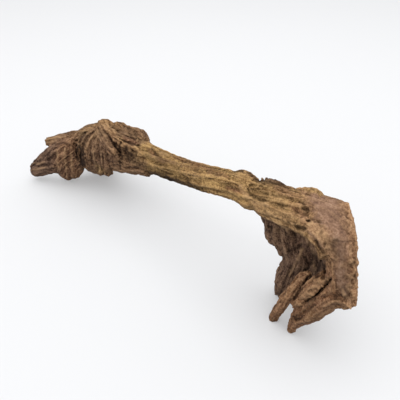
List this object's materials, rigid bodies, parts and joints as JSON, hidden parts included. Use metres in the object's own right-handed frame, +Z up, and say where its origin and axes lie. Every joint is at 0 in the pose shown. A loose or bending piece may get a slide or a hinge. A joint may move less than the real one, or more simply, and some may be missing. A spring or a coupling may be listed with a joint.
{
  "type": "ebony driftwood",
  "caption": "Weathered driftwood root: a ribbed shaft arching from a knotted burl to a sawn, hollow crown split into fingers.",
  "frame": {"origin": "middle of the bounding box, on the surface that the wood stands on", "axes": "+Z up, +X along the shaft from the burl to the crown, +Y to the side away from the fingers"},
  "size_m": [0.3936, 0.0868, 0.1112],
  "materials": {
    "wood": "matte"
  },
  "bodies": {
    "root": {"driftwood": "wood"}
  },
  "joints": []
}
